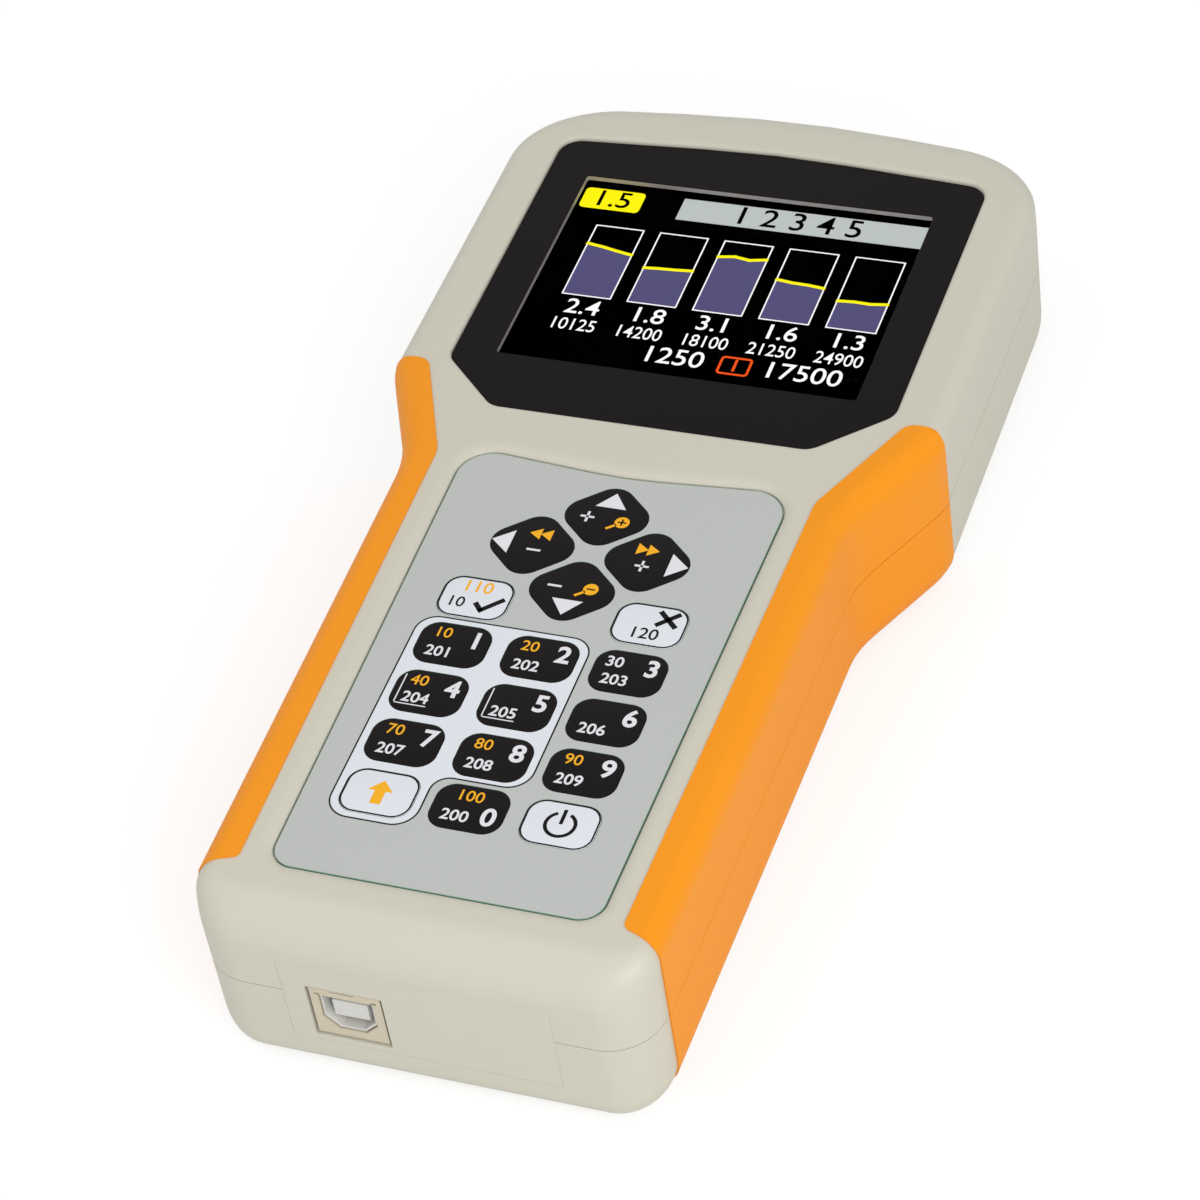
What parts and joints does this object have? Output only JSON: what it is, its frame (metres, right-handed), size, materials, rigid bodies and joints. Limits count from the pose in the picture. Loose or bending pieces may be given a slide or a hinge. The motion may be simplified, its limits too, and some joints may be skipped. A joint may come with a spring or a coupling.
{
  "type": "antenna analyzer",
  "caption": "Hand-held radio antenna analyzer with a colour display, a membrane style keypad, side grips, a computer socket and a threaded antenna socket.",
  "frame": {"origin": "centre of the bounding box on the rear face that the unit lies on", "axes": "+X to the right seen from the front, +Y along the case to the antenna socket, +Z out of the keypad side"},
  "size_m": [0.0998, 0.213, 0.0348],
  "materials": {
    "case": "fine satin moulded plastic, warm light grey",
    "grip": "satin orange soft grip",
    "bezel": "black printed panel",
    "window": "clear pane",
    "lcd": "dark display glass",
    "overlay": "fine satin printed film",
    "key_dark": "satin black with printed legend",
    "key_light": "satin white with printed legend",
    "board": "green circuit board",
    "component": "moulded black",
    "tin": "tinned sheet",
    "socket_metal": "plated sheet shell",
    "insulator": "white moulded insulator",
    "nickel": "nickel plate",
    "brass": "plated brass",
    "cell": "plain shrink jacket",
    "screw": "zinc plate"
  },
  "bodies": {
    "case": {"front_shell": "case", "rear_shell": "case", "lower_end_panel": "case", "socket_pocket": "case", "grip_front_left": "grip", "grip_front_right": "grip", "grip_rear_left": "grip", "grip_rear_right": "grip", "display_bezel": "bezel", "display_window": "window", "lcd_panel": "lcd", "lcd_frame": "tin", "keypad_overlay": "overlay", "keypad_board": "board", "main_board": "board", "keypad_header": "component", "display_header": "component", "processor_chip": "component", "buzzer": "component", "rf_shield": "tin", "battery_contact_foot": "tin", "battery_contact_head": "tin", "usb_shell": "socket_metal", "usb_tongue": "insulator", "antenna_insulator": "insulator", "antenna_socket": "nickel", "antenna_contact": "brass", "battery_cell_left": "cell", "battery_cell_right": "cell", "board_screw_left": "screw", "board_screw_right": "screw", "case_screw_1": "screw", "socket_screw_1": "screw", "case_screw_2": "screw", "socket_screw_2": "screw", "case_screw_3": "screw", "socket_screw_3": "screw", "case_screw_4": "screw", "socket_screw_4": "screw"},
    "cover": {"battery_cover": "case"},
    "key_0_body": {"key_0": "key_dark"},
    "key_1_body": {"key_1": "key_dark"},
    "key_2_body": {"key_2": "key_dark"},
    "key_3_body": {"key_3": "key_dark"},
    "key_4_body": {"key_4": "key_dark"},
    "key_5_body": {"key_5": "key_dark"},
    "key_6_body": {"key_6": "key_dark"},
    "key_7_body": {"key_7": "key_dark"},
    "key_8_body": {"key_8": "key_dark"},
    "key_9_body": {"key_9": "key_dark"},
    "key_f_body": {"key_f": "key_light"},
    "key_power_body": {"key_power": "key_light"},
    "key_ok_body": {"key_ok": "key_light"},
    "key_cancel_body": {"key_cancel": "key_light"},
    "key_up_body": {"key_up": "key_dark"},
    "key_down_body": {"key_down": "key_dark"},
    "key_left_body": {"key_left": "key_dark"},
    "key_right_body": {"key_right": "key_dark"}
  },
  "joints": [
    {"name": "battery_cover_tilt", "type": "hinge", "parent": "case", "child": "cover", "pos_m": [0, -0.0287, 0], "axis": [1, 0, 0], "range_deg": [0, 55]},
    {"name": "key_0_press", "type": "slide", "parent": "case", "child": "key_0_body", "axis": [0, 0, -1], "range_m": [0, 0.00035], "stiffness_N_per_m": 300},
    {"name": "key_1_press", "type": "slide", "parent": "case", "child": "key_1_body", "axis": [0, 0, -1], "range_m": [0, 0.00035], "stiffness_N_per_m": 300},
    {"name": "key_2_press", "type": "slide", "parent": "case", "child": "key_2_body", "axis": [0, 0, -1], "range_m": [0, 0.00035], "stiffness_N_per_m": 300},
    {"name": "key_3_press", "type": "slide", "parent": "case", "child": "key_3_body", "axis": [0, 0, -1], "range_m": [0, 0.00035], "stiffness_N_per_m": 300},
    {"name": "key_4_press", "type": "slide", "parent": "case", "child": "key_4_body", "axis": [0, 0, -1], "range_m": [0, 0.00035], "stiffness_N_per_m": 300},
    {"name": "key_5_press", "type": "slide", "parent": "case", "child": "key_5_body", "axis": [0, 0, -1], "range_m": [0, 0.00035], "stiffness_N_per_m": 300},
    {"name": "key_6_press", "type": "slide", "parent": "case", "child": "key_6_body", "axis": [0, 0, -1], "range_m": [0, 0.00035], "stiffness_N_per_m": 300},
    {"name": "key_7_press", "type": "slide", "parent": "case", "child": "key_7_body", "axis": [0, 0, -1], "range_m": [0, 0.00035], "stiffness_N_per_m": 300},
    {"name": "key_8_press", "type": "slide", "parent": "case", "child": "key_8_body", "axis": [0, 0, -1], "range_m": [0, 0.00035], "stiffness_N_per_m": 300},
    {"name": "key_9_press", "type": "slide", "parent": "case", "child": "key_9_body", "axis": [0, 0, -1], "range_m": [0, 0.00035], "stiffness_N_per_m": 300},
    {"name": "key_f_press", "type": "slide", "parent": "case", "child": "key_f_body", "axis": [0, 0, -1], "range_m": [0, 0.00035], "stiffness_N_per_m": 300},
    {"name": "key_power_press", "type": "slide", "parent": "case", "child": "key_power_body", "axis": [0, 0, -1], "range_m": [0, 0.00035], "stiffness_N_per_m": 300},
    {"name": "key_ok_press", "type": "slide", "parent": "case", "child": "key_ok_body", "axis": [0, 0, -1], "range_m": [0, 0.00035], "stiffness_N_per_m": 300},
    {"name": "key_cancel_press", "type": "slide", "parent": "case", "child": "key_cancel_body", "axis": [0, 0, -1], "range_m": [0, 0.00035], "stiffness_N_per_m": 300},
    {"name": "key_up_press", "type": "slide", "parent": "case", "child": "key_up_body", "axis": [0, 0, -1], "range_m": [0, 0.00035], "stiffness_N_per_m": 300},
    {"name": "key_down_press", "type": "slide", "parent": "case", "child": "key_down_body", "axis": [0, 0, -1], "range_m": [0, 0.00035], "stiffness_N_per_m": 300},
    {"name": "key_left_press", "type": "slide", "parent": "case", "child": "key_left_body", "axis": [0, 0, -1], "range_m": [0, 0.00035], "stiffness_N_per_m": 300},
    {"name": "key_right_press", "type": "slide", "parent": "case", "child": "key_right_body", "axis": [0, 0, -1], "range_m": [0, 0.00035], "stiffness_N_per_m": 300}
  ]
}
